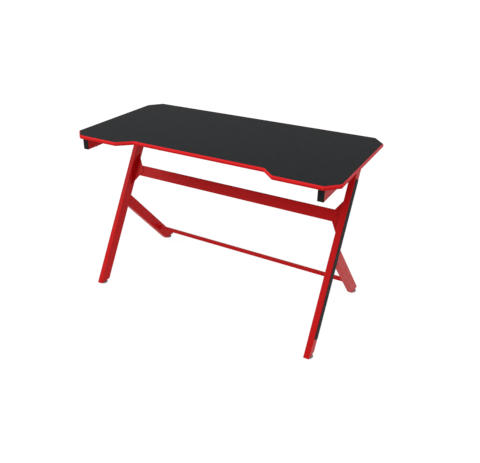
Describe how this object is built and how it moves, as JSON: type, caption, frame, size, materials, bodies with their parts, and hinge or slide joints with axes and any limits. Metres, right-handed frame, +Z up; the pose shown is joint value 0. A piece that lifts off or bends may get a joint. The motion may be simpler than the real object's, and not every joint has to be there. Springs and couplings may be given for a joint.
{
  "type": "gaming desk",
  "caption": "Gaming desk with a black notched top, domed red edge moulding, leaning red tube legs with black trim, a flared crossbeam and screw levelling feet.",
  "frame": {"origin": "on the floor, at the centre of the desk's overall width and depth", "axes": "+X to the right of a person sitting at the desk, +Y away from them, +Z up"},
  "size_m": [1.2, 0.6, 0.75],
  "materials": {
    "board_core": "raw particle board",
    "top_laminate": "matte, finely textured",
    "under_laminate": "matte",
    "red_moulding": "satin",
    "red_paint": "gloss powder coat",
    "black_trim": "satin",
    "black_plastic": "fine grain",
    "black_steel": "black oxide",
    "zinc_steel": "zinc plated",
    "grey_nylon": "moulded"
  },
  "bodies": {
    "frame": {"beam_nuts": "zinc_steel", "beam_studs": "zinc_steel", "crossbeam": "red_paint", "desktop_backing": "under_laminate", "desktop_board": "board_core", "desktop_bolts": "black_steel", "desktop_inserts": "zinc_steel", "desktop_laminate": "top_laminate", "edge_moulding": "red_moulding", "front_foot_plates": "red_paint", "left_beam_bracket": "red_paint", "left_bearer": "red_paint", "left_front_cap": "black_plastic", "left_front_leg": "red_paint", "left_leg_trim": "black_trim", "left_rear_cap": "black_plastic", "left_rear_leg": "red_paint", "lower_stretcher": "red_paint", "rear_foot_plates": "red_paint", "right_beam_bracket": "red_paint", "right_bearer": "red_paint", "right_front_cap": "black_plastic", "right_front_leg": "red_paint", "right_leg_trim": "black_trim", "right_rear_cap": "black_plastic", "right_rear_leg": "red_paint", "stretcher_spigots": "red_paint", "weld_nuts": "zinc_steel"},
    "front_left_pad": {"front_left_foot_pad": "grey_nylon"},
    "front_left_stud": {"front_left_foot_stud": "zinc_steel"},
    "front_right_pad": {"front_right_foot_pad": "grey_nylon"},
    "front_right_stud": {"front_right_foot_stud": "zinc_steel"},
    "rear_left_pad": {"rear_left_foot_pad": "grey_nylon"},
    "rear_left_stud": {"rear_left_foot_stud": "zinc_steel"},
    "rear_right_pad": {"rear_right_foot_pad": "grey_nylon"},
    "rear_right_stud": {"rear_right_foot_stud": "zinc_steel"}
  },
  "joints": [
    {"name": "front_left_foot_lift", "type": "slide", "parent": "frame", "child": "front_left_pad", "axis": [0, 0, -1], "range_m": [0, 0.01]},
    {"name": "front_left_foot_screw", "type": "hinge", "parent": "front_left_pad", "child": "front_left_stud", "pos_m": [-0.5365, -0.27113, 0.005], "axis": [0, 0, -1], "range_deg": [0, 2880]},
    {"name": "front_right_foot_lift", "type": "slide", "parent": "frame", "child": "front_right_pad", "axis": [0, 0, -1], "range_m": [0, 0.01]},
    {"name": "front_right_foot_screw", "type": "hinge", "parent": "front_right_pad", "child": "front_right_stud", "pos_m": [0.5365, -0.27113, 0.005], "axis": [0, 0, -1], "range_deg": [0, 2880]},
    {"name": "rear_left_foot_lift", "type": "slide", "parent": "frame", "child": "rear_left_pad", "axis": [0, 0, -1], "range_m": [0, 0.01]},
    {"name": "rear_left_foot_screw", "type": "hinge", "parent": "rear_left_pad", "child": "rear_left_stud", "pos_m": [-0.5365, 0.26386, 0.005], "axis": [0, 0, -1], "range_deg": [0, 2880]},
    {"name": "rear_right_foot_lift", "type": "slide", "parent": "frame", "child": "rear_right_pad", "axis": [0, 0, -1], "range_m": [0, 0.01]},
    {"name": "rear_right_foot_screw", "type": "hinge", "parent": "rear_right_pad", "child": "rear_right_stud", "pos_m": [0.5365, 0.26386, 0.005], "axis": [0, 0, -1], "range_deg": [0, 2880]}
  ],
  "couplings": [
    {"joint": "front_left_foot_screw", "follows": "front_left_foot_lift", "rad_per_m": 5026.5},
    {"joint": "front_right_foot_screw", "follows": "front_right_foot_lift", "rad_per_m": 5026.5},
    {"joint": "rear_left_foot_screw", "follows": "rear_left_foot_lift", "rad_per_m": 5026.5},
    {"joint": "rear_right_foot_screw", "follows": "rear_right_foot_lift", "rad_per_m": 5026.5}
  ]
}
